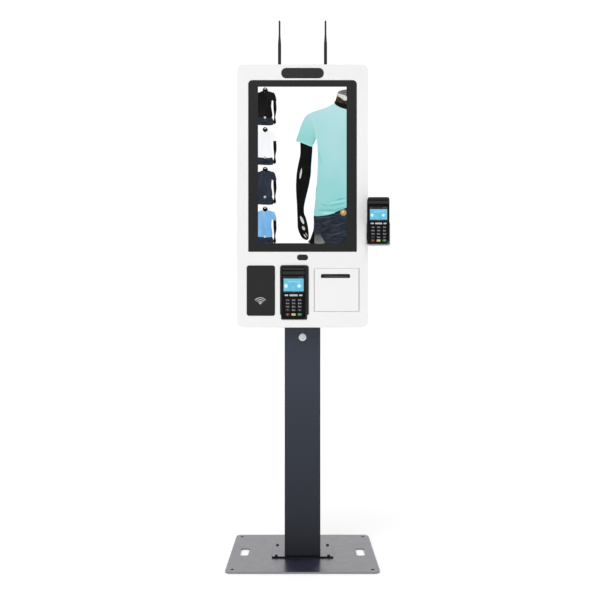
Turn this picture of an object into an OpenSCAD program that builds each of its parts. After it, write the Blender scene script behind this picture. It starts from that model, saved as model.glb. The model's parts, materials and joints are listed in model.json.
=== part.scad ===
// Self checkout kiosk on a floor stand: touch screen, two card terminals, contactless reader,
// receipt printer and two antennas. Front is -Y, +X is the user's right, +Z is up.
// The origin is the middle of the base plate's underside.

/* [Stand] */
// Width of the base plate
base_w = 500; // [460:10:600]
// Depth of the base plate, front to back
base_d = 400; // [360:10:480]
// Thickness of the base plate
base_t = 6; // [5:1:10]
// Radius of the base plate's corners
base_r = 18; // [8:1:40]
// Width of the column
column_w = 122; // [112:2:140]
// Depth of the column, front to back
column_d = 90; // [86:2:110]
// Height of the column's top above the floor
column_top = 799; // [700:1:950]
// Sheet thickness of the column
column_t = 3; // [2:0.5:4]
// Width of the foot flange
flange_w = 210; // [205:1:230]
// Depth of the foot flange
flange_d = 130; // [126:1:150]
// Thickness of the foot flange
flange_t = 5; // [4:1:8]

/* [Head] */
// Width of the head
head_w = 438; // [434:1:470]
// Height of the head
head_h = 880; // [876:1:920]
// Depth of the head, front to back
head_d = 140; // [136:1:170]
// Radius of the head's corners, seen from the front
head_r = 20; // [12:1:30]
// Thickness of the front panel's face
panel_t = 3; // [2.5:0.5:3.5]
// Depth of the front panel with its skirt
skirt_d = 45; // [42:1:52]
// How far the rear shell stands in from the front panel's outline
shell_inset = 6; // [5:0.5:8]

/* [Screen] */
// Width of the touch glass
glass_w = 363; // [350:1:370]
// Height of the touch glass
glass_h = 574.5; // [560:0.5:576]
// Height of the glass's middle above the head's underside
glass_up = 540.25; // [538:0.25:542]

/* [Card terminals] */
// Width of the front terminal
pos_w = 78; // [74:1:82]
// Height of the front terminal
pos_h = 172; // [164:1:176]
// Width of the side terminal
side_w = 72.4; // [70:0.1:76]
// Height of the side terminal
side_h = 154.2; // [150:0.1:160]
// Depth of both terminals
terminal_d = 34; // [30:1:36]
// How far a key goes down
key_travel = 1.2; // [0.8:0.1:1.6]

/* [Printer] */
// Width of the printer door
door_w = 149.3; // [140:0.1:152]
// Height of the printer door
door_h = 143.6; // [140:0.1:150]
// Radius of a full paper roll
roll_r = 25; // [15:1:27]

/* [Antennas] */
// Height of the antennas above the head
antenna_h = 176; // [120:1:220]
// Distance between the two antennas
antenna_pitch = 158; // [100:2:240]

/* [Hidden] */
KEYS = ["1", "2", "3", "4", "5", "6", "7", "8", "9", "star", "0", "hash",
        "cancel", "clear", "enter", "left", "menu", "right"];
$fn = 48;

// Colours
white = [0.93, 0.93, 0.94];
slate = [0.20, 0.22, 0.26];
plate_grey = [0.45, 0.46, 0.49];
black = [0.09, 0.09, 0.10];
steel = [0.72, 0.73, 0.75];

// Stand
hand_hole = [30, 78];
hand_hole_x = base_w/2 - 47;
floor_hole_r = 4.5;
floor_hole_in = [22, 23.5];
flange_z = base_t;
column_z = base_t + flange_t;
column_y0 = -flange_d/2;
column_y1 = column_y0 + column_d;
cover_t = 3;
cover_gap = 0.5;
cover_top_gap = 1;
cover_z0 = column_z + 3;
frame_y0 = column_y0 + cover_t + cover_gap;
lip_w = 17;
lip_t = 2.5;
top_plate_t = 5;
foot_bolt = [flange_w/2 - 15, flange_d/2 - 7];
head_bolt_x = 40;
head_bolt_y = [column_y0 + 22, column_y1 - 16];
m6_r = 3;
m6_head_r = 5.25;
m6_head_h = 3.3;
m6_key_r = 2.3;
cable_hole_r = 20;
cable_hole_y = (column_y0 + column_y1)/2;
inlet_z = column_z + 69.5;
inlet_cut = [28, 21];

// The cover hangs on a rod near the column's foot and tilts about it
rod_r = 3;
rod_y = frame_y0 + 4.5;
rod_z = column_z + 13;
hook_w = 16;
hook_x = column_w/2 - 36;
run_gap = 0.08;
// How far back the cover's foot swings
foot_swing = 3.8;

// Lock
lock_z = column_top - 39;
lock_flange_r = 13;
lock_barrel_r = 9;
lock_plug_r = 6;
lock_front = column_y0 - 3;
lock_back = column_y0 + 10;
cam_l = 24;
cam_w = 12;
cam_t = 2.5;
catch_y0 = lock_back - 3.5;

// Head
head_z0 = column_top - shell_inset;
head_z1 = head_z0 + head_h;
head_y0 = -110;
head_y1 = head_y0 + head_d;
shell_w = head_w - 2*shell_inset;
shell_h = head_h - 2*shell_inset;
shell_t = 2;
shell_y0 = head_y0 + skirt_d - 10;
skirt_t = 2.5;
head_zc = head_z0 + head_h/2;
panel_back = head_y0 + panel_t;
gap = 0.4;
glass_z = head_z0 + glass_up;
glass_y0 = head_y0 + 0.4;
glass_t = 3;
glass_r = [14, 2.5];
display = [322, 552, 22];
display_y0 = glass_y0 + glass_t;
display_y1 = display_y0 + display.z;
bracket_t = 2.5;

// Windows and panels in the face: [width, height] and centre [x, z]
camera_size = [142, 34.5];
camera_r = 16.5;
camera_at = [0, head_z1 - 29];
scanner_size = [36.3, 19];
scanner_at = [0, head_z0 + 234];
scanner_r = 9;
nfc_size = [94.5, 168];
nfc_at = [-139.4, head_z0 + 123];
nfc_r = 8;
rim = 4;
rim_t = 2;

// Front terminal and its tray
tray_w = 95.6;
tray_x = -27.2;
tray_z0 = head_z0 + 26;
tray_h = 182;
tray_foot_w = 87;
tray_foot_x = tray_x - 1;
tray_foot_h = 16;
tray_r = [9, 4];
tray_front = head_y0 - 2;
pos_x = -29.8;
pos_z0 = tray_z0 + 4;
pos_face = head_y0 - 6;
pos_lcd = [68, 44.5, 111.5];
wall = 2.5;
lcd_edge = [5, 11];
lcd_up = 1.5;

// Side terminal
side_x = 249.9;
side_z0 = head_z0 + 274.3;
side_face = -150;
side_lcd = [57.8, 36.5, 96.2];
side_back = side_face + terminal_d;
pivot_x = side_x + 0.9;
pivot_y = -90;
pivot_r = 5;
lug_r = 10;
shelf_z = [side_z0 + 50.7, side_z0 + 92.7];
shelf_t = 8;

// Screens are [width, height, height of the middle above the terminal's foot]
// Keys: heights of the rows above the foot, from the function keys down to the coloured keys,
// pitch of the digit columns and of the function keys, and the size of the keys
key_size = [14, 7.6];
soft_key = [12, 5.6];
menu_key = [27, 6.2];
key_depth = 5;
key_proud = 1.5;
key_gap = 0.35;
pos_rows = [76.9, 60.9, 49.8, 38.7, 27.6, 12.8];
pos_cols = [20.1, 23.9];
pos_key_scale = 1;
side_rows = [66.4, 53.8, 42.8, 31.8, 20.8, 10.5];
side_cols = [19, 21];
side_key_scale = 0.87;

// Printer
door_at = [114.6, head_z0 + 125.5];
slot_size = [97.7, 13.7];
slot_r = [5, 0.5];
slot_at = [110.4, head_z0 + 172];
door_gap = 0.8;
door_t = 2;
stile_r = 3;
hinge_x = door_at.x + door_w/2 - stile_r;
hinge_y = head_y0 + stile_r;
pin_r = 1.5;
pin_l = 16;
door_lug = [10, 6, 10];
printer_x = slot_at.x;
printer_y = [-100, -25];
printer_w = 104;
paper_w = 80;
platen_r = 6;
platen_y = -88;
paper_z = slot_at.y - 2;
platen_z = paper_z - platen_r - 0.2;
platen_shaft_r = 3;
roll_y = -58;
roll_z = head_z0 + 102;
axle_r = 6.2;

// Rear door
rear_size = [360, 760];
rear_z = head_zc - 10;
rear_y = head_y1 + 0.5;
rear_t = 2;
rear_hinge_x = -rear_size.x/2 - 6;
knuckle_r = 4.5;
knuckle_h = 20;
pintle_r = 2.5;
rear_hinge_y = rear_y + knuckle_r;
rear_hinge_z = [rear_z - 300, rear_z + 260];

// Antennas
antenna_y = -50;
antenna_r = 5.5;
antenna_tip_r = 3.2;
socket_h = 3;
antenna_pivot_z = head_z1 - shell_inset + 22;
fork_gap = 2.3;
antenna_pin_r = 1.5;

// ---- Shared shapes ----

// Flat outline with corner radius rt at the top and rb at the bottom, about its middle
module rounded(w, h, rt, rb) {
    translate([-w/2, rb - h/2]) square([w, h - rt - rb]);
    translate([rt - w/2, 0]) square([w - 2*rt, h/2]);
    translate([rb - w/2, -h/2]) square([w - 2*rb, h/2]);
    for (s = [-1, 1]) {
        translate([s*(w/2 - rt), h/2 - rt]) circle(rt);
        translate([s*(w/2 - rb), rb - h/2]) circle(rb);
    }
}

// Stands a flat outline up in the XZ plane, from y0 back to y0 + t
module upright(y0, t) {
    translate([0, y0 + t, 0]) rotate([90, 0, 0]) linear_extrude(t) children();
}

module rod_x(r, l) { rotate([0, 90, 0]) cylinder(h = l, r = r, center = true); }

module rod_y(r, y0, y1) { translate([0, y0, 0]) rotate([-90, 0, 0]) cylinder(h = y1 - y0, r = r); }

// Four places at the corners of a rectangle
module corners(x, y) { for (i = [-x, x], j = [-y, y]) translate([i, j, 0]) children(); }

// A window let into the face from behind: a plug, and a rim behind the panel
module inset_window(size, at, r, proud) {
    translate([at.x, 0, at.y]) {
        upright(head_y0 - proud, panel_t + proud) rounded(size.x, size.y, r, r);
        upright(panel_back, rim_t)
            rounded(size.x + 2*rim, size.y + 2*rim, r + rim, r + rim);
    }
}

module m6_bolt(shank) {
    translate([0, 0, -shank]) cylinder(h = shank, r = m6_r);
    difference() {
        cylinder(h = m6_head_h, r = m6_head_r);
        translate([0, 0, m6_head_h/2]) cylinder(h = m6_head_h, r = m6_key_r, $fn = 6);
    }
}

// ---- Stand ----

module base_plate() color(plate_grey) difference() {
    linear_extrude(base_t) difference() {
        rounded(base_w, base_d, base_r, base_r);
        corners(hand_hole_x, 0) rounded(hand_hole.x, hand_hole.y, 8, 8);
    }
    translate([0, 0, -1]) {
        corners(base_w/2 - floor_hole_in.x, base_d/2 - floor_hole_in.y)
            cylinder(h = base_t + 2, r = floor_hole_r);
        corners(foot_bolt.x, foot_bolt.y) cylinder(h = base_t + 2, r = m6_r + run_gap);
    }
}

module foot_flange() color(slate) translate([0, 0, flange_z]) difference() {
    linear_extrude(flange_t) rounded(flange_w, flange_d, 3, 3);
    translate([0, 0, -1]) {
        corners(foot_bolt.x, foot_bolt.y) cylinder(h = flange_t + 2, r = m6_r + 0.5);
        translate([0, cable_hole_y, 0]) cylinder(h = flange_t + 2, r = cable_hole_r);
    }
}

// Four bolts hold the flange to the base plate, and four hold the head to the column
module m6_bolts() color(black) {
    corners(foot_bolt.x, foot_bolt.y) translate([0, 0, column_z]) m6_bolt(flange_t + base_t - 1);
    for (x = [-head_bolt_x, head_bolt_x], y = head_bolt_y)
        translate([x, y, column_top + shell_t]) m6_bolt(shell_t + top_plate_t + 6);
}

// Bent channel, open at the front between two lips, with a welded top plate, hinge rod and catch
module column_body() color(slate) difference() {
    union() {
        translate([0, 0, column_z]) linear_extrude(column_top - column_z) column_section();
        translate([-column_w/2, frame_y0, column_top - top_plate_t])
            cube([column_w, column_y1 - frame_y0, top_plate_t]);
        translate([0, rod_y, rod_z]) rod_x(rod_r, column_w - column_t);
        translate([-15, catch_y0, lock_z + cam_w/2 + 6])
            cube([30, 3, column_top - lock_z - cam_w/2 - 6]);
    }
    for (x = [-head_bolt_x, head_bolt_x], y = head_bolt_y)
        translate([x, y, column_top - 10]) cylinder(h = 20, r = m6_r + run_gap);
    translate([0, cable_hole_y, column_top - 10]) cylinder(h = 20, r = cable_hole_r);
    translate([-inlet_cut.x/2, column_y1 - 10, inlet_z - inlet_cut.y/2])
        cube([inlet_cut.x, 20, inlet_cut.y]);
    // Room for the cover's foot, which swings back as its top tilts forward
    translate([-column_w, frame_y0 - 1, column_z - 1]) {
        cube([2*column_w, 1 + foot_swing, rod_z - rod_r - column_z + 0.5]);
        cube([2*column_w, 1 + foot_swing/3, rod_z - column_z + 3]);
    }
}

module column_section() {
    outer_d = column_y1 - frame_y0;
    translate([-column_w/2, column_y1 - column_t]) square([column_w, column_t]);
    for (s = [-1, 1]) {
        translate([s*(column_w - column_t)/2, frame_y0 + outer_d/2])
            square([column_t, outer_d], center = true);
        translate([s*(column_w - lip_w)/2, frame_y0 + lip_t/2])
            square([lip_w, lip_t], center = true);
    }
}

// Flat front cover with two stiffening returns, hooked over the rod
module column_cover() color(slate) {
    cover_h = head_z0 - cover_top_gap - cover_z0;
    return_x = column_w/2 - lip_w - 4;
    difference() {
        translate([-column_w/2, column_y0, cover_z0]) cube([column_w, cover_t, cover_h]);
        translate([0, 0, lock_z]) rod_y(lock_barrel_r + run_gap, column_y0 - 1, column_y0 + 5);
    }
    for (s = [-1, 1]) translate([s*return_x - 1, column_y0 + cover_t, rod_z + 20])
        cube([2, 12, cover_h - 60]);
    for (s = [-1, 1]) translate([s*hook_x, 0, 0]) cover_hook();
}

// A hook that opens downwards, so that the cover lifts off once it is tilted
module cover_hook() difference() {
    translate([-hook_w/2, column_y0 + cover_t, rod_z - 1])
        cube([hook_w, rod_y - column_y0 - cover_t + rod_r + 2.5, rod_r + 4]);
    translate([0, rod_y, rod_z]) rod_x(rod_r + run_gap, hook_w + 2);
    translate([-hook_w, rod_y - rod_r - run_gap, rod_z - 5])
        cube([2*hook_w, 2*(rod_r + run_gap), 5]);
}

module lock_housing() color(steel) translate([0, 0, lock_z]) difference() {
    union() {
        rod_y(lock_flange_r, lock_front, column_y0);
        rod_y(lock_barrel_r, column_y0, lock_back - 3);
        rod_y(lock_barrel_r + 4, column_y0 + cover_t, column_y0 + cover_t + 3);
    }
    rod_y(lock_plug_r + run_gap, lock_front - 1, lock_back);
}

module lock_plug() color(steel) translate([0, 0, lock_z]) difference() {
    union() {
        rod_y(lock_plug_r, lock_front + 0.4, lock_back);
        rod_y(2.5, lock_back, lock_back + cam_t + 2);
    }
    translate([-0.75, lock_front, -3.5]) cube([1.5, 8, 7]);
}

// The cam points to the user's left while unlocked, and turns up behind the catch to lock
module lock_cam() color(steel) translate([0, 0, lock_z]) difference() {
    upright(lock_back, cam_t) {
        circle(cam_w/2);
        translate([-cam_l, -cam_w/2]) square([cam_l, cam_w]);
    }
    rod_y(2.5 + 0.02, lock_back - 1, lock_back + cam_t + 1);
}

// ---- Head ----

module head_shell() color(white) {
    difference() {
        union() {
            translate([0, 0, head_zc]) {
                upright(shell_y0, head_y1 - shell_y0) difference() {
                    rounded(shell_w, shell_h, head_r - shell_inset, head_r - shell_inset);
                    rounded(shell_w - 2*shell_t, shell_h - 2*shell_t,
                            head_r - shell_inset - shell_t, head_r - shell_inset - shell_t);
                }
                upright(head_y1 - shell_t, shell_t)
                    rounded(shell_w, shell_h, head_r - shell_inset, head_r - shell_inset);
                upright(shell_y0, 3) difference() {
                    rounded(head_w - 2*skirt_t, head_h - 2*skirt_t,
                            head_r - skirt_t, head_r - skirt_t);
                    rounded(shell_w - 2*shell_t, shell_h - 2*shell_t,
                            head_r - shell_inset - shell_t, head_r - shell_inset - shell_t);
                }
            }
            for (z = rear_hinge_z) pintle(z);
        }
        upright(head_y1 - 5, 10) translate([0, rear_z])
            rounded(rear_size.x - 20, rear_size.y - 20, 6, 6);
        for (x = [-head_bolt_x, head_bolt_x], y = head_bolt_y)
            translate([x, y, column_top - 5]) cylinder(h = 12, r = m6_r + 0.5);
        translate([0, cable_hole_y, column_top - 5]) cylinder(h = 12, r = cable_hole_r);
        for (x = [-antenna_pitch/2, antenna_pitch/2])
            translate([x, antenna_y, head_z1 - 20]) cylinder(h = 30, r = 3.3);
        side_vents();
    }
}

// Rows of slots in both side walls, in front of the speakers
module side_vents() {
    for (s = [-1, 1], i = [-4 : 4])
        translate([s*shell_w/2, 0, head_zc + 40 + i*9])
            cube([12, 34, 3.5], center = true);
}

// Fixed half of a lift-off hinge: a knuckle on a leaf, with the pin standing up from it
module pintle(z) translate([rear_hinge_x, rear_hinge_y, z]) {
    cylinder(h = knuckle_h, r = knuckle_r);
    translate([-knuckle_r, head_y1 - rear_hinge_y - 1, 0])
        cube([2*knuckle_r, rear_hinge_y - head_y1 + 1, knuckle_h]);
    cylinder(h = 2*knuckle_h - 3, r = pintle_r);
}

module tray_outline(grow) {
    translate([tray_x, tray_z0 + (tray_h + tray_foot_h)/2])
        rounded(tray_w + 2*grow, tray_h - tray_foot_h + 2*grow, tray_r[0], tray_r[1]);
    translate([tray_foot_x, tray_z0 + tray_foot_h])
        rounded(tray_foot_w + 2*grow, 2*tray_foot_h + 2*grow, tray_r[1], tray_r[1]);
}

module front_panel() color(white) difference() {
    union() {
        translate([0, 0, head_zc]) {
            upright(head_y0, panel_t) rounded(head_w, head_h, head_r, head_r);
            upright(panel_back, skirt_d - panel_t) difference() {
                rounded(head_w, head_h, head_r, head_r);
                rounded(head_w - 2*skirt_t, head_h - 2*skirt_t,
                        head_r - skirt_t, head_r - skirt_t);
            }
        }
        for (s = [-1, 1]) door_lug_at(s);
    }
    upright(head_y0 - 5, panel_t + 7) {
        translate([0, glass_z]) rounded(glass_w + 2*gap, glass_h + 2*gap, glass_r[0], glass_r[1]);
        translate(camera_at) rounded(camera_size.x + 0.6, camera_size.y + 0.6, camera_r, camera_r);
        translate(scanner_at) rounded(scanner_size.x + 0.6, scanner_size.y + 0.6, scanner_r, scanner_r);
        translate(nfc_at) rounded(nfc_size.x + 0.6, nfc_size.y + 0.6, nfc_r, nfc_r);
        translate(door_at) rounded(door_w + 2*door_gap, door_h + 2*door_gap, 1, 1);
        tray_outline(0.3);
    }
    for (s = [-1, 1]) hinge_pin_at(s, 0.02, 3);
}

// Lug behind the face that holds one pin of the printer door, above (1) or below (-1) it
module door_lug_at(s) {
    translate([hinge_x, panel_back + door_lug.y/2,
               door_at.y + s*(door_h/2 + door_gap + door_lug.z/2)])
        cube(door_lug, center = true);
}

module hinge_pin_at(s, grow, extra) {
    translate([hinge_x, hinge_y, door_at.y + s*door_h/2])
        cylinder(h = pin_l + 2*extra, r = pin_r + grow, center = true);
}

module touch_glass() color(black) translate([0, 0, glass_z])
    upright(glass_y0, glass_t) rounded(glass_w, glass_h, glass_r[0], glass_r[1]);

module display_module() color(steel) translate([0, 0, glass_z]) {
    upright(display_y0, 14) rounded(display.x, display.y, 2, 2);
    upright(display_y0 + 14, display.z - 14)
        rounded(display.x - 60, display.y - 80, 4, 4);
}

module display_brackets() color(steel) difference() {
    for (z = [glass_z - 160, glass_z + 160])
        translate([skirt_t - head_w/2, display_y1, z - 15])
            cube([head_w - 2*skirt_t, bracket_t, 30]);
    for (x = [-60, 60], z = [glass_z - 160, glass_z + 160])
        translate([x, 0, z]) rod_y(2.2, display_y1 - 5, display_y1 + 5);
}

module camera_window() color(black) inset_window(camera_size, camera_at, camera_r, 0.3);

module camera_module() color(black) translate([camera_at.x, 0, camera_at.y]) {
    upright(panel_back + rim_t + 6, 1.6) rounded(70, 22, 1, 1);
    rod_y(6, panel_back + rim_t, panel_back + rim_t + 6);
    translate([-22, 0, 0]) rod_y(3, panel_back + rim_t, panel_back + rim_t + 6);
}

module scanner_window() color(black) inset_window(scanner_size, scanner_at, scanner_r, 0.3);

module scanner_module() color(black) translate([scanner_at.x, 0, scanner_at.y])
    upright(panel_back + rim_t, 34) rounded(46, 30, 2, 2);

module nfc_cover() color(black) inset_window(nfc_size, nfc_at, nfc_r, 1);

module nfc_board() color("darkgreen") translate([nfc_at.x, 0, nfc_at.y]) {
    upright(panel_back + rim_t, 1.6) rounded(82, 130, 3, 3);
    upright(panel_back + rim_t + 1.6, 4) rounded(30, 24, 1, 1);
}

// Computer board on four standoffs behind the display
module mainboard() color("darkgreen") translate([0, 0, glass_z]) {
    board_y = display_y1 + 12;
    upright(board_y, 1.6) rounded(200, 150, 3, 3);
    for (x = [-92, 92], z = [-67, 67])
        translate([x, 0, z]) rod_y(3, display_y1, board_y);
    upright(board_y + 1.6, 16) translate([-30, 20]) rounded(70, 60, 2, 2);
    for (x = [30, 52, 74]) translate([x, 0, -62])
        upright(board_y + 1.6, 14) rounded(17, 20, 1, 1);
}

module power_supply() color(steel) translate([-140, 0, column_top + shell_t + 48])
    upright(-58, 42) rounded(98, 96, 3, 3);

module speakers() color(black) for (s = [-1, 1])
    translate([s*(shell_w/2 - shell_t - 11), -10, head_zc + 40]) difference() {
        cube([22, 48, 96], center = true);
        translate([s*4, 0, 0]) rotate([0, s*90, 0]) cylinder(h = 10, r = 19);
    }

// Mains socket let into the column's back near the floor
module power_inlet() color(black) translate([0, 0, inlet_z]) difference() {
    union() {
        upright(column_y1, 3) rounded(50, 28, 6, 6);
        upright(column_y1 - 24, 24) rounded(inlet_cut.x - 0.6, inlet_cut.y - 0.6, 2, 2);
    }
    upright(column_y1 - 16, 25) rounded(24, 16.6, 1.5, 5);
}

module antenna_sockets() color("goldenrod") for (x = [-antenna_pitch/2, antenna_pitch/2])
    translate([x, antenna_y, head_z1 - shell_inset]) {
        cylinder(h = socket_h, r = 5.5, $fn = 6);
        translate([0, 0, -12]) cylinder(h = 12 + socket_h + 4, r = 3);
    }

// Swivelling fork with the fold pin riveted in it
module antenna_base() color(black) {
    bottom = head_z1 - shell_inset + socket_h + 0.3;
    translate([0, antenna_y, 0]) {
        difference() {
            translate([0, 0, bottom])
                cylinder(h = antenna_pivot_z - bottom, r = antenna_r);
            translate([-fork_gap - 0.3, -antenna_r - 1, antenna_pivot_z - antenna_r - 0.5])
                cube([2*fork_gap + 0.6, 2*antenna_r + 2, 20]);
            translate([0, 0, bottom - 1]) cylinder(h = 6, r = 3 + run_gap);
        }
        intersection() {
            translate([0, 0, antenna_pivot_z]) rod_x(antenna_r, 4*antenna_r);
            translate([0, 0, antenna_pivot_z - 1]) cylinder(h = 10, r = antenna_r);
            for (s = [-1, 1]) translate([s*(fork_gap + 0.3 + antenna_r), 0, antenna_pivot_z])
                cube([2*antenna_r, 4*antenna_r, 4*antenna_r], center = true);
        }
        translate([0, 0, antenna_pivot_z]) rod_x(antenna_pin_r, 2*antenna_r - 1);
    }
}

module antenna_mast() color(black) translate([0, antenna_y, antenna_pivot_z]) {
    reach = antenna_h - (antenna_pivot_z - head_z1);
    sleeve = reach*0.46;
    difference() {
        union() {
            rod_x(antenna_r - 0.3, 2*fork_gap);
            translate([-fork_gap, 0.3 - antenna_r, 0])
                cube([2*fork_gap, 2*antenna_r - 0.6, antenna_r + 3]);
        }
        rod_x(antenna_pin_r + run_gap, 20);
    }
    translate([0, 0, antenna_r + 1.5]) cylinder(h = sleeve - antenna_r - 1.5, r = antenna_r);
    translate([0, 0, sleeve]) cylinder(h = reach*0.26, r1 = antenna_r, r2 = antenna_tip_r);
    translate([0, 0, reach*0.72]) cylinder(h = reach*0.28, r = antenna_tip_r);
}

module antenna_left_base() { translate([-antenna_pitch/2, 0, 0]) antenna_base(); }
module antenna_left_mast() { translate([-antenna_pitch/2, 0, 0]) antenna_mast(); }
module antenna_right_base() { translate([antenna_pitch/2, 0, 0]) antenna_base(); }
module antenna_right_mast() { translate([antenna_pitch/2, 0, 0]) antenna_mast(); }

module rear_door() color(white) difference() {
    union() {
        upright(rear_y, rear_t) translate([0, rear_z]) rounded(rear_size.x, rear_size.y, 6, 6);
        for (z = rear_hinge_z) translate([rear_hinge_x, rear_hinge_y, z + knuckle_h + 0.3]) {
            cylinder(h = knuckle_h, r = knuckle_r);
            translate([0, -knuckle_r, 0]) cube([knuckle_r + 4, rear_t, knuckle_h]);
        }
    }
    for (z = rear_hinge_z) translate([rear_hinge_x, rear_hinge_y, z])
        cylinder(h = 3*knuckle_h, r = pintle_r + run_gap);
    for (i = [-5 : 5], x = [-60, 60]) translate([x, rear_y, rear_z + 260 + i*11])
        cube([90, 10, 4], center = true);
}

// ---- Card terminals ----

// Outline of key k in the XZ plane: 0 to 14 run down from the digit 1, 15 to 17 are function keys
module key_outline(k, rows, cols, size, grow) {
    full = k < 15 ? key_size : k == 16 ? menu_key : soft_key;
    row = k < 15 ? floor(k/3) + 1 : 0;
    translate([(k % 3 - 1)*(k < 15 ? cols[0] : cols[1]), rows[row]])
        rounded(size*full.x + 2*grow, size*full.y + 2*grow, 2.2*size, 2.2*size);
}

module key(k, face, rows, cols, size) upright(face - key_proud, key_depth)
    key_outline(k, rows, cols, size, 0);

// Housing about x = 0, z = 0 at its foot: hollow, with key holes, screen recess and card slots
module terminal_housing(w, h, face, lcd, rows, cols, size) {
    difference() {
        union() {
            upright(face, terminal_d) translate([0, h/2]) rounded(w, h, 7, 11);
            for (i = [0 : 2]) upright(face - 3 + i*0.8, 4)
                translate([0, h*0.965 - i*h*0.052]) rounded(w - 8, h*0.042, 2, 2);
        }
        upright(face + 3, terminal_d - 3 - wall) translate([0, h/2])
            rounded(w - 2*wall, h - 2*wall, 5, 8);
        for (k = [0 : 17]) upright(face - 5, 10) key_outline(k, rows, cols, size, key_gap);
        upright(face - 1, 3) translate([0, lcd.z + lcd_up])
            rounded(lcd.x + lcd_edge.x + 0.4, lcd.y + lcd_edge.y + 0.4, 3, 3);
        translate([-28, face + 12, -1]) cube([56, 2.4, 5]);
    }
}

module terminal_screen(face, lcd) {
    upright(face + 0.4, 1.6) translate([0, lcd.z + lcd_up])
        rounded(lcd.x + lcd_edge.x, lcd.y + lcd_edge.y, 3, 3);
}

module at_pos() { translate([pos_x, 0, pos_z0]) children(); }
module at_side() { translate([side_x, 0, side_z0]) children(); }

module pos_tray() color(black) difference() {
    union() {
        upright(tray_front, panel_back - tray_front) tray_outline(0);
        upright(panel_back, rim_t) tray_outline(rim);
        upright(panel_back, pos_face + terminal_d + wall - panel_back)
            at_pos_outline(0.5 + wall);
    }
    upright(tray_front - 5, pos_face + terminal_d - tray_front + 5) at_pos_outline(0.5);
}

module at_pos_outline(grow) {
    translate([pos_x, pos_z0 + pos_h/2])
        rounded(pos_w + 2*grow, pos_h + 2*grow, 7 + grow, 11 + grow);
}

module pos_housing() color(black) at_pos() 
    terminal_housing(pos_w, pos_h, pos_face, pos_lcd, pos_rows, pos_cols, pos_key_scale);
module pos_screen() color("skyblue") at_pos() terminal_screen(pos_face, pos_lcd);

module pos_key(k) {
    tint = k == 12 ? "firebrick" : k == 13 ? "gold" : k == 14 ? "seagreen"
         : k > 14 ? "gainsboro" : "dimgray";
    color(tint) at_pos() key(k, pos_face, pos_rows, pos_cols, pos_key_scale);
}

// Bracket on the head's right side, with two shelves and the swivel pin between them
module side_bracket() color(steel) {
    plate_z = [shelf_z[0] - 14, shelf_z[1] + shelf_t + 14];
    translate([head_w/2, pivot_y - 14, plate_z[0]]) cube([3, 34, plate_z[1] - plate_z[0]]);
    for (z = shelf_z) {
        translate([head_w/2 + 1, pivot_y - lug_r, z])
            cube([pivot_x - head_w/2 - 1, 2*lug_r, shelf_t]);
        translate([pivot_x, pivot_y, z]) cylinder(h = shelf_t, r = lug_r);
    }
    translate([pivot_x, pivot_y, shelf_z[0] + 1])
        cylinder(h = shelf_z[1] - shelf_z[0] + shelf_t - 2, r = pivot_r);
}

// Cradle that holds the side terminal and swivels on the bracket's pin
module side_cradle() color(steel) {
    lug_z = shelf_z[0] + shelf_t + 0.3;
    lug_h = shelf_z[1] - shelf_z[0] - shelf_t - 0.6;
    lip_t = 2;
    lip_gap = 2;
    lip_h = side_h*0.49;
    foot_t = 3.6;
    at_side() {
        upright(side_back, 2.5) translate([0, side_h*0.45]) rounded(side_w - 2, side_h*0.9, 4, 4);
        translate([side_w/2 + lip_gap, side_back - 20, -foot_t])
            cube([lip_t, 22.5, lip_h]);
        translate([-side_w/2 - lip_gap - lip_t, side_back - 20, -foot_t])
            cube([lip_t, 22.5, lip_h]);
        difference() {
            translate([-side_w/2 - lip_gap - lip_t, side_back - 20, -foot_t])
                cube([side_w + 2*(lip_gap + lip_t), 22.5, foot_t]);
            translate([-30, side_back - 24, -foot_t - 1]) cube([60, 8, foot_t + 2]);
        }
        translate([-side_w/2 - lip_gap - lip_t, side_back, -foot_t])
            cube([side_w + 2*(lip_gap + lip_t), 2.5, lip_h]);
    }
    difference() {
        union() {
            translate([pivot_x, pivot_y, lug_z]) cylinder(h = lug_h, r = lug_r);
            translate([pivot_x - 7, side_back + 1, lug_z])
                cube([14, pivot_y - side_back - 1, lug_h]);
        }
        translate([pivot_x, pivot_y, lug_z - 1]) cylinder(h = lug_h + 2, r = pivot_r + run_gap);
    }
}

module side_housing() color(black) at_side()
    terminal_housing(side_w, side_h, side_face, side_lcd, side_rows, side_cols, side_key_scale);
module side_screen() color("skyblue") at_side() terminal_screen(side_face, side_lcd);
module side_keypad() color("dimgray") at_side() for (k = [0 : 17])
    key(k, side_face, side_rows, side_cols, side_key_scale);

// ---- Receipt printer ----

module slot_outline(grow) {
    translate(slot_at) rounded(slot_size.x + 2*grow, slot_size.y + 2*grow,
                                slot_r[0] + grow, slot_r[1] + grow);
}

// Door with a round hinge stile at its right edge and a chute behind the paper slot
module printer_door() color(white) difference() {
    union() {
        upright(head_y0, door_t) translate([door_at.x - stile_r/2, door_at.y])
            rounded(door_w - stile_r, door_h, 1, 1);
        translate([hinge_x, hinge_y, door_at.y])
            cylinder(h = door_h, r = stile_r, center = true);
        upright(head_y0, 2*stile_r) difference() {
            translate([door_at.x - 6, door_at.y]) rounded(door_w - 12, door_h, 1, 1);
            translate([door_at.x - 6, door_at.y]) rounded(door_w - 16, door_h - 4, 1, 1);
        }
        upright(head_y0, 2*stile_r) slot_outline(2);
    }
    upright(head_y0 - 5, 20) slot_outline(0);
    for (s = [-1, 1]) hinge_pin_at(s, 0.06, 1);
}

module printer_hinge_pins() color(steel) for (s = [-1, 1]) hinge_pin_at(s, 0, 0);

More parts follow.
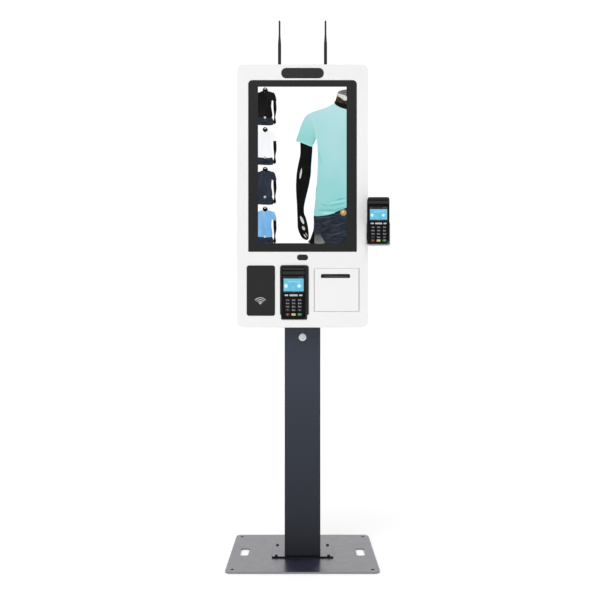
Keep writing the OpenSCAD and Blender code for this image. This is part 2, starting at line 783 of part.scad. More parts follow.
// Chassis: side plates on a foot, print head, paper guide and the fixed axle of the roll
module printer_body() color("dimgray") translate([printer_x, 0, 0]) {
    inner = printer_w - 4;
    depth = printer_y[1] - printer_y[0];
    foot_z = column_top + shell_t;
    plate_top = slot_at.y + 20;
    difference() {
        for (s = [-1, 1]) translate([s*(printer_w/2 - 1), 0, 0]) {
            translate([0, printer_y[0] + depth/2, (head_z0 + 68 + plate_top)/2])
                cube([2, depth, plate_top - head_z0 - 68], center = true);
            translate([-1, shell_y0 + 4, foot_z])
                cube([2, printer_y[1] - shell_y0 - 4, head_z0 + 69 - foot_z]);
        }
        translate([0, platen_y, platen_z]) rod_x(platen_shaft_r + run_gap, printer_w + 10);
    }
    translate([-inner/2 - 1, shell_y0 + 4, foot_z])
        cube([inner + 2, printer_y[1] - shell_y0 - 4, 3]);
    translate([-inner/2 - 1, platen_y - 8, paper_z + 0.3]) cube([inner + 2, 22, 16]);
    translate([-inner/2 - 1, -102, paper_z - 10]) cube([inner + 2, 6.5, 9]);
    translate([0, roll_y, roll_z]) rod_x(axle_r, inner + 2);
}

module printer_platen() color(black) translate([printer_x, platen_y, platen_z]) {
    rod_x(platen_r, printer_w - 8);
    rod_x(platen_shaft_r, printer_w + 4);
}

module paper_roll() color(white) translate([printer_x, roll_y, roll_z]) difference() {
    rod_x(roll_r, paper_w);
    rod_x(axle_r + run_gap, paper_w + 2);
}

base_plate();
foot_flange();
m6_bolts();
column_body();
column_cover();
lock_housing();
lock_plug();
lock_cam();
head_shell();
front_panel();
touch_glass();
display_module();
display_brackets();
camera_window();
camera_module();
scanner_window();
scanner_module();
nfc_cover();
nfc_board();
mainboard();
power_supply();
speakers();
power_inlet();
antenna_sockets();
antenna_left_base();
antenna_left_mast();
antenna_right_base();
antenna_right_mast();
rear_door();
pos_tray();
pos_housing();
pos_screen();
printer_door();
printer_hinge_pins();
printer_body();
printer_platen();
paper_roll();
side_bracket();
side_cradle();
side_housing();
side_screen();
side_keypad();
for (i = [0 : len(KEYS) - 1])
    pos_key(i);
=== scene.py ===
"""Self checkout kiosk: the looks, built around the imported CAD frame. Metres, front is -Y, up is +Z."""
import json
import math
import random

import bmesh
import bpy
from mathutils import Matrix, Vector


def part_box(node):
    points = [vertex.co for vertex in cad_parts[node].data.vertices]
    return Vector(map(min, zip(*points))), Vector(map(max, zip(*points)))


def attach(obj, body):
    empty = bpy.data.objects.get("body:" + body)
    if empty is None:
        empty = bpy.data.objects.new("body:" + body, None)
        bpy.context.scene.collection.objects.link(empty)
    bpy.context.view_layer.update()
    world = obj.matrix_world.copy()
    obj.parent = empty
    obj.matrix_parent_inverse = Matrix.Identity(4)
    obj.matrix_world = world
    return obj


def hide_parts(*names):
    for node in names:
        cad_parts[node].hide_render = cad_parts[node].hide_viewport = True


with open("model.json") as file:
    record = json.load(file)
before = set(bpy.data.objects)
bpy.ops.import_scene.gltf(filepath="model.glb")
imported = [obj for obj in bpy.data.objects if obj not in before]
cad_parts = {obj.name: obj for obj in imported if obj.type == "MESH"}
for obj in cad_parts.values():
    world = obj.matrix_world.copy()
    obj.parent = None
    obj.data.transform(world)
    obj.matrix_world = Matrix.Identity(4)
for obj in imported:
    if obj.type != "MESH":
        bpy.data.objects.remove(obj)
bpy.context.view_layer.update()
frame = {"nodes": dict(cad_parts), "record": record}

MM = 0.001


# ---------------------------------------------------------------- camera

CAMERA_Y = -2.294
CAMERA_Z = 0.755
CAMERA_LENS = 39.15
CAMERA_SHIFT = (-0.0042, 0.0645)


def make_camera():
    """A level camera in front of the kiosk; the shift frames the head above it, as in the reference."""
    data = bpy.data.cameras.new("camera")
    data.lens = CAMERA_LENS
    data.sensor_width = 36.0
    data.shift_x, data.shift_y = CAMERA_SHIFT
    camera = bpy.data.objects.new("camera", data)
    camera.location = (0, CAMERA_Y, CAMERA_Z)
    camera.rotation_euler = (math.radians(90), 0, 0)
    bpy.context.scene.collection.objects.link(camera)
    bpy.context.scene.camera = camera


make_camera()


# ---------------------------------------------------------------- materials

class Surface:
    """A Principled material with the few node chains that the kiosk's finishes are made of."""

    def __init__(self, name, colour, roughness, **fixed):
        self.material = bpy.data.materials.new(name)
        self.material.use_nodes = True
        self.tree = self.material.node_tree
        self.shader = self.tree.nodes["Principled BSDF"]
        self.shader.inputs["Base Color"].default_value = (*colour, 1)
        self.shader.inputs["Roughness"].default_value = roughness
        for socket, value in fixed.items():
            self.shader.inputs[socket.replace("_", " ")].default_value = value
        self.colour, self.roughness = colour, roughness
        self.place = self.node("ShaderNodeTexCoord").outputs["Object"]

    def node(self, kind, **settings):
        made = self.tree.nodes.new(kind)
        for key, value in settings.items():
            setattr(made, key, value)
        return made

    def link(self, source, target):
        self.tree.links.new(source, target)

    def noise(self, scale, detail=2.0, rough=0.5, stretch=(1, 1, 1)):
        """Noise over the piece; scale is in features per metre, stretch slows it along an axis."""
        mapping = self.node("ShaderNodeMapping")
        mapping.inputs["Scale"].default_value = stretch
        self.link(self.place, mapping.inputs["Vector"])
        texture = self.node("ShaderNodeTexNoise")
        texture.inputs["Scale"].default_value = scale
        texture.inputs["Detail"].default_value = detail
        texture.inputs["Roughness"].default_value = rough
        self.link(mapping.outputs["Vector"], texture.inputs["Vector"])
        return texture.outputs["Fac"]

    def spread(self, source, low, high, start=0.3, end=0.7):
        """Maps start to end of a value onto low to high."""
        ranged = self.node("ShaderNodeMapRange")
        for socket, value in (("From Min", start), ("From Max", end), ("To Min", low), ("To Max", high)):
            ranged.inputs[socket].default_value = value
        self.link(source, ranged.inputs["Value"])
        return ranged.outputs["Result"]

    def tint(self, source, low, high, start=0.3, end=0.7, socket="Base Color"):
        """A colour between two shades, by a 0 to 1 value."""
        ramp = self.node("ShaderNodeValToRGB")
        ramp.color_ramp.elements[0].position, ramp.color_ramp.elements[1].position = start, end
        ramp.color_ramp.elements[0].color = (*low, 1)
        ramp.color_ramp.elements[1].color = (*high, 1)
        self.link(source, ramp.inputs["Fac"])
        self.link(ramp.outputs["Color"], self.shader.inputs[socket])
        return self

    def shade(self, source, amount):
        """Base colour lightened and darkened by a share of itself."""
        low = [c * (1 - amount) for c in self.colour]
        high = [min(1.0, c * (1 + amount)) for c in self.colour]
        return self.tint(source, low, high)

    def up(self, low, high):
        """0 at height low to 1 at height high, in metres."""
        split = self.node("ShaderNodeSeparateXYZ")
        self.link(self.place, split.inputs["Vector"])
        return self.spread(split.outputs["Z"], 0, 1, low, high)

    def blend(self, first, second, share):
        """A mix of two 0 to 1 values; share is the second one's part."""
        mix = self.node("ShaderNodeMix")
        mix.inputs["Factor"].default_value = share
        self.link(first, mix.inputs["A"])
        self.link(second, mix.inputs["B"])
        return mix.outputs["Result"]

    def vary_roughness(self, source, amount):
        value = self.spread(source, self.roughness - amount, self.roughness + amount)
        self.link(value, self.shader.inputs["Roughness"])
        return self

    def bump(self, source, depth):
        """Raises the surface by up to depth metres."""
        bump = self.node("ShaderNodeBump")
        bump.inputs["Strength"].default_value = 1.0
        bump.inputs["Distance"].default_value = depth
        self.link(source, bump.inputs["Height"])
        self.link(bump.outputs["Normal"], self.shader.inputs["Normal"])
        return self


def powder_coat(name, colour, roughness, grain=900, depth=0.00002, **fixed):
    """Sprayed powder: fine orange peel, a cloudy gloss, and a slight change of shade."""
    s = Surface(name, colour, roughness, **fixed)
    s.shade(s.noise(4, 3), 0.02)
    s.vary_roughness(s.noise(30, 4), 0.05)
    s.bump(s.noise(grain, 3), depth)
    return s


def column_coat_with_painted_shade(name, low, high, roughness, **fixed):
    """Dark powder coat, with painted shade that darkens it towards the floor."""
    s = powder_coat(name, high, roughness, grain=700, **fixed)
    # painted shade: the colour runs from low near the floor up to high by about 0.6 m, mixed with a
    # little random tone
    s.tint(s.blend(s.up(0.0, 0.62), s.noise(3, 4), 0.12), low, high, 0.05, 0.95)
    return s


def moulded(name, colour, roughness, grain=2600, depth=0.00003, **fixed):
    """Spark-eroded moulded plastic: a fine even texture."""
    s = Surface(name, colour, roughness, **fixed)
    s.shade(s.noise(40, 4), 0.08)
    s.vary_roughness(s.noise(160, 3), 0.05)
    s.bump(s.noise(grain, 4, 0.65), depth)
    return s


def rubbery(name, colour, roughness=0.6, **fixed):
    """Soft rubber or thick print, matt and finely grained."""
    s = Surface(name, colour, roughness, **fixed)
    s.shade(s.noise(300, 3), 0.1)
    s.vary_roughness(s.noise(500, 2), 0.06)
    s.bump(s.noise(5000, 2), 0.00001)
    return s


def machined(name, colour, roughness, scale=800):
    """Bare metal with fine tool marks."""
    s = Surface(name, colour, roughness, Metallic=1.0)
    s.shade(s.noise(60, 3), 0.08)
    s.vary_roughness(s.noise(scale, 3, 0.6), 0.08)
    s.bump(s.noise(scale * 2), 0.000006)
    return s


def gloss(name, colour, roughness):
    """Smooth tinted glass or polished plastic, with faint wipe marks in its gloss."""
    s = Surface(name, colour, roughness)
    s.shade(s.noise(6, 2), 0.04)
    s.vary_roughness(s.noise(18, 5, 0.6, (1, 1, 3)), 0.03)
    return s


def lit(name, low, high, grain=14, stretch=(1, 1, 1), strength=1.0, rise=None):
    """Part of a display's picture, in shades between low and high; rise fades it between two heights."""
    s = Surface(name, (0.002, 0.002, 0.002), 0.3, Specular_IOR_Level=0.05)
    source = s.noise(grain, 3, 0.5, stretch)
    if rise:
        source = s.blend(source, s.up(*rise), 0.7)
    s.tint(source, low, high, socket="Emission Color")
    s.shader.inputs["Emission Strength"].default_value = strength
    s.vary_roughness(s.noise(18, 4), 0.03)
    return s


WHITE = powder_coat("white_paint", (0.865, 0.864, 0.864), 0.42)
# The column's paint carries painted shade, darker towards the floor.
SLATE = column_coat_with_painted_shade("column_paint", (0.011, 0.013, 0.020), (0.0345, 0.0415, 0.060), 0.5,
                    Specular_IOR_Level=0.25)
BASE = powder_coat("base_paint", (0.010, 0.011, 0.031), 0.31, grain=600, depth=0.0000004, IOR=2.98)
# near-black paint for a band at the flange's edge, which is painted shade
FLANGE_SHADE = powder_coat("flange_shade_paint", (0.006, 0.006, 0.008), 0.55, depth=0.000004,
                     Specular_IOR_Level=0.15)
SCREW = moulded("blackened_screw", (0.004, 0.004, 0.004), 0.6, Specular_IOR_Level=0.1)
BLACK_STEEL = machined("black_oxide", (0.055, 0.055, 0.06), 0.5)
STEEL = machined("zinc_steel", (0.62, 0.63, 0.65), 0.35)
CHROME = machined("lock_chrome", (0.86, 0.90, 0.93), 0.34, scale=1500)
GLASS = gloss("black_glass", (0.019, 0.019, 0.019), 0.07)
WINDOW = gloss("dark_window", (0.024, 0.024, 0.025), 0.14)
PLASTIC = moulded("black_plastic", (0.012, 0.012, 0.013), 0.5, Specular_IOR_Level=0.3)
NFC_PLASTIC = moulded("reader_plastic", (0.010, 0.011, 0.010), 0.5, Specular_IOR_Level=0.32)
TERMINAL = moulded("terminal_plastic", (0.003, 0.003, 0.0035), 0.42, Specular_IOR_Level=0.12)
HOOD = moulded("terminal_hood", (0.020, 0.020, 0.018), 0.45, Specular_IOR_Level=0.3)
DISPLAY_BACK = machined("display_back", (0.45, 0.46, 0.47), 0.5)
BOARD = moulded("circuit_board", (0.012, 0.09, 0.04), 0.35, grain=1200)
BRASS = machined("gold_plate", (0.83, 0.62, 0.26), 0.28)
KEY_DARK = rubbery("key_dark", (0.030, 0.030, 0.034), Specular_IOR_Level=0.3)
KEY_RED = rubbery("key_red", (0.16, 0.014, 0.016), Specular_IOR_Level=0.3)
KEY_YELLOW = rubbery("key_yellow", (0.62, 0.52, 0.12))
KEY_GREEN = rubbery("key_green", (0.03, 0.22, 0.05), Specular_IOR_Level=0.3)
KEY_LIGHT = rubbery("key_light", (0.50, 0.51, 0.52))
LEGEND = rubbery("key_legend", (0.54, 0.54, 0.58))
PRINTER = moulded("printer_plastic", (0.022, 0.022, 0.024), 0.5)
RUBBER = rubbery("roller_rubber", (0.02, 0.02, 0.02), 0.7)
PAPER = moulded("paper", (0.85, 0.85, 0.82), 0.8, grain=4000)
BRACKET = powder_coat("bracket_paint", (0.72, 0.725, 0.735), 0.4)
PRINT = rubbery("printed_mark", (0.74, 0.74, 0.74), 0.5)


# ---------------------------------------------------------------- shapes

SHARP_FROM = 32                  # degrees between faces, above which a made edge stays sharp
BEVEL_FROM = 35                  # and above which a CAD edge is rounded


def oblong(w, h, top, bottom=None, at=(0, 0), steps=6):
    """Rounded rectangle about at; top and bottom are its corner radii. Runs anticlockwise."""
    bottom = top if bottom is None else bottom
    points = []
    corners = ((1, 1, top, 0), (-1, 1, top, 90), (-1, -1, bottom, 180), (1, -1, bottom, 270))
    for side, level, r, start in corners:
        for i in range(steps + 1):
            a = math.radians(start + 90 * i / steps)
            points.append((at[0] + side * (w / 2 - r) + r * math.cos(a),
                           at[1] + level * (h / 2 - r) + r * math.sin(a)))
    return points


def round_outline(r, sides=0, count=48, at=(0, 0)):
    """A circle, or with sides a regular polygon that r reaches across the corners."""
    points = []
    for i in range(count):
        a = 2 * math.pi * i / count
        reach = r
        if sides:
            step = 2 * math.pi / sides
            reach = r * math.cos(step / 2) / math.cos(a % step - step / 2)
        points.append((at[0] + reach * math.cos(a), at[1] + reach * math.sin(a)))
    return points


def curve(points, steps=6):
    """Smooth open line through a few chosen points."""
    pull = 0.42
    line = []
    for i in range(len(points) - 1):
        near = [min(max(j, 0), len(points) - 1) for j in range(i - 1, i + 3)]
        before, a, b, after = (Vector(points[j]) for j in near)
        out, back = pull * (b - before), pull * (after - a)
        for k in range(steps):
            t = k / steps
            line.append(tuple(a * (2*t**3 - 3*t**2 + 1) + out * (t**3 - 2*t**2 + t)
                              + b * (3*t**2 - 2*t**3) + back * (t**3 - t**2)))
    return line + [tuple(points[-1])]


class Piece:
    """One mesh object, put together from skinned loops, and attached to its body by done()."""

    def __init__(self, name):
        self.name = name
        self.mesh = bmesh.new()
        self.surfaces = []

    def slot_of(self, surface):
        if surface not in self.surfaces:
            self.surfaces.append(surface)
        return self.surfaces.index(surface)

    def skin(self, loops, surface, closed=False):
        """Joins loops of as many points each; closed joins the last to the first."""
        index = self.slot_of(surface)
        rows = [[self.mesh.verts.new(point) for point in loop] for loop in loops]
        pairs = list(zip(rows, rows[1:])) + ([(rows[-1], rows[0])] if closed else [])
        for low, high in pairs:
            for i in range(len(low)):
                j = (i + 1) % len(low)
                self.mesh.faces.new((low[i], low[j], high[j], high[i])).material_index = index
        if not closed:
            self.mesh.faces.new(list(reversed(rows[0]))).material_index = index
            self.mesh.faces.new(rows[-1]).material_index = index
        return self

    def plate(self, outline, y0, y1, surface, turn=None):
        """An XZ outline made solid from y0 back to y1, then placed by turn."""
        loops = [[(x, y, z) for x, z in outline] for y in (y1, y0)]
        if turn is not None:
            loops = [[turn @ Vector(p) for p in loop] for loop in loops]
        return self.skin(loops, surface)

    def ring(self, outer, inner, y0, y1, surface):
        """A flat frame between two outlines of as many points."""
        loops = [[(x, y, z) for x, z in outline] for outline, y in
                 ((outer, y1), (outer, y0), (inner, y0), (inner, y1))]
        return self.skin(loops, surface, closed=True)

    def turned(self, profile, at, surface, axis="Z", count=32, closed=False):
        """Turns (radius, distance) pairs about an axis through at; a third number gives flats.
        closed is for a hollow part."""
        turn = {"X": Matrix.Rotation(math.radians(90), 3, "Y"), "Z": Matrix.Identity(3),
                "Y": Matrix.Rotation(math.radians(-90), 3, "X")}[axis]
        loops = []
        for entry in profile:
            flats = entry[2] if len(entry) > 2 else 0
            loops.append([Vector(at) + turn @ Vector((x, y, entry[1]))
                          for x, y in round_outline(entry[0], flats, count)])
        return self.skin(loops, surface, closed=closed)

    def text(self, words, at, size, surface, depth):
        """Raised characters that face the front, centred on at."""
        data = bpy.data.curves.new("legend", "FONT")
        data.body, data.size, data.extrude, data.resolution_u = words, size, depth / 2, 3
        data.align_x, data.align_y = "CENTER", "CENTER"
        made = bpy.data.objects.new("legend", data)
        bpy.context.scene.collection.objects.link(made)
        depsgraph = bpy.context.evaluated_depsgraph_get()
        mesh = bpy.data.meshes.new_from_object(made.evaluated_get(depsgraph))
        mesh.transform(Matrix.Translation(at) @ Matrix.Rotation(math.radians(90), 4, "X"))
        first = len(self.mesh.faces)
        self.mesh.from_mesh(mesh)
        self.mesh.faces.ensure_lookup_table()
        for face in self.mesh.faces[first:]:
            face.material_index = self.slot_of(surface)
        bpy.data.objects.remove(made)
        return self

    def built(self):
        """The object, without a body yet."""
        bmesh.ops.recalc_face_normals(self.mesh, faces=self.mesh.faces)
        data = bpy.data.meshes.new(self.name)
        self.mesh.to_mesh(data)
        self.mesh.free()
        for surface in self.surfaces:
            data.materials.append(surface.material)
        obj = bpy.data.objects.new(self.name, data)
        bpy.context.scene.collection.objects.link(obj)
        return obj

    def done(self, body, slot, replaces=(), cutters=()):
        """Cuts, smooths and hands the object to its body; replaces names the CAD nodes it stands for."""
        obj = self.built()
        for cutter in cutters:
            carve(obj, cutter)
        obj.data.shade_smooth()
        obj.data.set_sharp_from_angle(angle=math.radians(SHARP_FROM))
        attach(obj, body)
        if replaces:
            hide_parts(*replaces)
        return obj


def carve(obj, cutter):
    """Cuts one object's shape out of another for good."""
    tool = cutter.built()
    change = obj.modifiers.new("cut", "BOOLEAN")
    change.operation, change.solver, change.object = "DIFFERENCE", "EXACT", tool
    depsgraph = bpy.context.evaluated_depsgraph_get()
    data = bpy.data.meshes.new_from_object(obj.evaluated_get(depsgraph))
    obj.modifiers.clear()
    obj.data = data
    bpy.data.objects.remove(tool)


def round_edges(obj, width):
    """Softens an object's sharp edges by width millimetres."""
    bevel = obj.modifiers.new("round_edges", "BEVEL")
    bevel.width = width * MM
    bevel.segments = 2
    bevel.limit_method = "ANGLE"
    bevel.angle_limit = math.radians(BEVEL_FROM)
    bevel.use_clamp_overlap = True
    bevel.harden_normals = False


def box(node):
    """A node's box at rest: its lowest corner, highest corner, middle and size."""
    low, high = (Vector(corner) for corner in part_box(node))
    return low, high, (low + high) / 2, high - low


def solids(node):
    """Boxes of the separate solids in one CAD node, as (low, high)."""
    data = frame["nodes"][node].data
    parent = list(range(len(data.vertices)))

    def root(i):
        while parent[i] != i:
            parent[i] = parent[parent[i]]
            i = parent[i]
        return i

    places = {}
    for vertex in data.vertices:
        key = tuple(round(c, 6) for c in vertex.co)
        parent[root(vertex.index)] = root(places.setdefault(key, vertex.index))
    for edge in data.edges:
        parent[root(edge.vertices[0])] = root(edge.vertices[1])
    groups = {}
    for vertex in data.vertices:
        groups.setdefault(root(vertex.index), []).append(vertex.co)
    return [tuple(Vector([pick(co[i] for co in group) for i in range(3)]) for pick in (min, max))
            for group in groups.values()]


# ---------------------------------------------------------------- CAD nodes that stay

NODE_LOOKS = {
    "base_plate": (BASE, 0.8), "foot_flange": (BASE, 0.6), "m6_bolts": (BLACK_STEEL, 0.4),
    "column_body": (SLATE, 0.4), "column_cover": (SLATE, 0.5),
    "lock_housing": (CHROME, 0.5), "lock_plug": (CHROME, 0.2), "lock_cam": (STEEL, 0.2),
    "head_shell": (WHITE, 0.6), "front_panel": (WHITE, 0.8), "rear_door": (WHITE, 0.5),
    "touch_glass": (GLASS, 0.3), "display_module": (DISPLAY_BACK, 0.5),
    "display_brackets": (STEEL, 0.2), "camera_window": (WINDOW, 0.3),
    "camera_module": (PLASTIC, 0.2), "scanner_window": (WINDOW, 0.3),
    "scanner_module": (PLASTIC, 0.4), "nfc_cover": (NFC_PLASTIC, 0.5),
    "nfc_board": (BOARD, 0.1), "mainboard": (BOARD, 0.1), "power_supply": (STEEL, 0.5),
    "speakers": (PLASTIC, 0.5), "power_inlet": (PLASTIC, 0.3), "antenna_sockets": (BRASS, 0.2),
    "antenna_left_base": (PLASTIC, 0.3), "antenna_right_base": (PLASTIC, 0.3),
    "antenna_left_mast": (PLASTIC, 0.3), "antenna_right_mast": (PLASTIC, 0.3),
    "pos_tray": (PLASTIC, 0.5), "pos_housing": (TERMINAL, 0.5), "pos_screen": (WINDOW, 0.2),
    "printer_door": (WHITE, 0.4), "printer_hinge_pins": (STEEL, 0.1),
    "printer_body": (PRINTER, 0.3), "printer_platen": (RUBBER, 0.2), "paper_roll": (PAPER, 0.2),
    "side_bracket": (BRACKET, 0.4), "side_cradle": (BRACKET, 0.3),
    "side_housing": (TERMINAL, 0.5), "side_screen": (WINDOW, 0.2), "side_keypad": (KEY_DARK, 0.4),
}


def paint(obj, surface):
    obj.data.materials.clear()
    obj.data.materials.append(surface.material)


for name, obj in frame["nodes"].items():
    surface, edge = NODE_LOOKS.get(name, (KEY_DARK, 0.6))
    paint(obj, surface)
    round_edges(obj, edge)


# ---------------------------------------------------------------- touch screen's picture

SCREEN_W = 0.2962
SCREEN_H = 0.5235
SCREEN_MARGIN = 0.0326           # black border at the screen's left edge
SCREEN_DROP = 0.0222             # and at its top
PICTURE_LIFT = 0.15 * MM

PAGE = lit("picture_page", (0.98, 0.98, 0.98), (1.0, 1.0, 1.0), 3, strength=1.02)
TEAL_CLOTH = lit("picture_teal", (0.28, 0.64, 0.64), (0.47, 0.75, 0.77), 9, (1.6, 1, 0.8),
                 rise=(1.05, 1.66))
TEAL_SLEEVE = lit("picture_teal_sleeve", (0.30, 0.65, 0.65), (0.41, 0.72, 0.73), 12,
                  rise=(1.40, 1.53))
TEAL_FOLD = lit("picture_teal_fold", (0.16, 0.51, 0.50), (0.23, 0.58, 0.57), 30)
TEAL_SHADE = lit("picture_teal_shade", (0.25, 0.61, 0.61), (0.31, 0.66, 0.66), 30)
TEAL_LIGHT = lit("picture_teal_light", (0.34, 0.76, 0.76), (0.44, 0.82, 0.82), 30)
DENIM = lit("picture_denim", (0.010, 0.014, 0.022), (0.034, 0.044, 0.062), 60, (1, 1, 3))
DENIM_LIGHT = lit("picture_denim_light", (0.032, 0.040, 0.048), (0.062, 0.072, 0.080), 50)
DENIM_FADE = lit("picture_denim_fade", (0.19, 0.19, 0.18), (0.03, 0.036, 0.044), 60, rise=(1.07, 1.12))
FIGURE = lit("picture_figure", (0.001, 0.002, 0.002), (0.006, 0.006, 0.006), 25)
STONE = lit("picture_stone", (0.10, 0.11, 0.10), (0.24, 0.24, 0.22), 120)
UMBER = lit("picture_umber", (0.012, 0.010, 0.006), (0.075, 0.055, 0.028), 90)
SHINE = lit("picture_shine", (0.46, 0.46, 0.45), (0.80, 0.80, 0.79), 60)
GOLD = lit("picture_button", (0.30, 0.19, 0.06), (0.58, 0.42, 0.17), 160)
GOLD_LIGHT = lit("picture_button_light", (0.60, 0.48, 0.22), (0.80, 0.68, 0.42), 160)
SHIRTS = (lit("picture_black", (0.003, 0.003, 0.003), (0.013, 0.011, 0.012), 30, (1, 1, 0.4)),
          lit("picture_white", (0.86, 0.88, 0.93), (0.99, 0.99, 1.0), 24, (1, 1, 0.3)),
          lit("picture_navy", (0.013, 0.018, 0.030), (0.040, 0.050, 0.072), 40, (1, 1, 0.4)),
          lit("picture_blue", (0.12, 0.36, 0.68), (0.26, 0.52, 0.84), 40, (1, 1, 0.4)))

# Outlines on the screen, in millimetres right of its left edge and down from its top
SHIRT = [(296.2, 75.7), (275, 69), (260, 60.5), (256, 56), (237, 65.5), (218, 73), (189, 82.5),
         (168, 92), (156, 104), (145, 127), (137, 151), (128, 181), (141.5, 186), (160.5, 193.5),
         (180, 200), (188, 186), (195.5, 174), (198, 188), (199.5, 209), (200, 243), (199, 285),
         (197, 324), (194, 358), (190.5, 392), (188, 430), (214, 431.5), (241, 427), (268, 415.5),
         (296.2, 404)]
NECK = [(296.2, 9), (283, 10.5), (270, 15.5), (264.5, 29), (260, 44), (255.5, 56.5), (275, 70),
        (296.2, 77)]
NECK_MIDDLE = [(296.2, 44), (286, 44), (277, 36), (266, 30), (262, 42), (261, 50), (274, 53),
               (285, 57), (296.2, 58)]
NECK_TOP = [(296.2, 9), (283, 10.5), (270, 15.5), (267, 22), (279, 24), (296.2, 31)]
NECK_LIGHT = [(266.5, 22), (279, 25), (296.2, 32), (296.2, 45), (287, 45), (277, 37), (266.5, 32)]
JEANS = [(296.2, 404), (268, 415.5), (241, 427), (214, 431.5), (188, 430), (187, 454), (185, 480),
         (176, 507), (175, 523.5), (296.2, 523.5)]
JEANS_SIDE = [(186.5, 478), (188, 500), (188, 523.5), (175.3, 523.5), (176.5, 508)]
JEANS_FADE = [(191, 484), (203, 482), (212, 500), (222, 523.5), (189, 523.5), (189, 500)]
ARM = [(141, 184), (142, 209), (140.5, 232), (134, 262), (129, 293), (127, 331), (128, 362),
       (130, 392), (131, 420), (132, 446), (133, 472), (139.5, 492), (149, 507), (162, 513),
       (168.5, 509), (170, 496), (168, 473), (164, 453), (158.5, 434), (154.5, 424), (154, 402),
       (160.5, 370), (170, 331), (176.5, 293), (178, 262), (180.5, 232), (182, 209), (182, 198)]
SLEEVE = [(168, 92), (156, 104), (145, 127), (137, 151), (128, 181), (141.5, 186), (160.5, 193.5),
          (180, 200), (188, 186), (194, 174), (190, 150), (184, 126), (178, 106)]
THUMB_SHIRT = [(0, 19.5), (8, 17), (15.5, 14), (23.5, 19.5), (32.5, 14.5), (44, 17.5), (55, 22),
               (61.5, 42), (60, 48), (50, 47.5), (46.5, 45.5), (44.5, 67), (46, 103), (0, 103)]
THUMB_JEANS = [(0, 103), (20, 100), (46.5, 103), (49.5, 128), (0, 128)]
THUMB_NECK = [(15.5, 14.5), (16.5, 6), (23, 2), (30.5, 6), (32.5, 14.5), (24, 20)]
THUMB_ARM = [(51, 46), (51.5, 72), (54, 101), (51.5, 117), (55, 126), (60.5, 119), (58, 101),
             (62, 76), (60.5, 46)]
THUMB_STEP = 132.9               # from one garment in the column to the next


def on_screen(points, layer):
    """Corners on the glass for an outline in screen millimetres; a higher layer lies further forward."""
    low, high, middle, size = box("touch_glass")
    left, top = low.x + SCREEN_MARGIN, high.z - SCREEN_DROP
    y = low.y - PICTURE_LIFT * (1 + 0.2 * layer)
    return [(left + u * MM, y, top - v * MM) for u, v in points]


def picture(name, outlines, layer, surface):
    """Flat lit shapes of one colour."""
    piece = Piece(name)
    index = piece.slot_of(surface)
    for points in outlines:
        corners = [piece.mesh.verts.new(p) for p in on_screen(points, layer)]
        piece.mesh.faces.new(corners).material_index = index
    obj = piece.built()
    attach(obj, "stand")


def lowered(outline, rows):
    """An outline once for each of the rows, that far down."""
    return [[(u, v + drop) for u, v in outline] for drop in rows]


def leaf(x0, z0, x1, z1, width):
    """A long rounded highlight from one end to the other."""
    a, b = Vector((x0, z0)), Vector((x1, z1))
    side = (b - a).orthogonal().normalized() * width / 2
    return curve([tuple(a), tuple(a.lerp(b, 0.3) + side), tuple(a.lerp(b, 0.7) + side), tuple(b),
                  tuple(a.lerp(b, 0.7) - side), tuple(a.lerp(b, 0.3) - side), tuple(a)])[:-1]


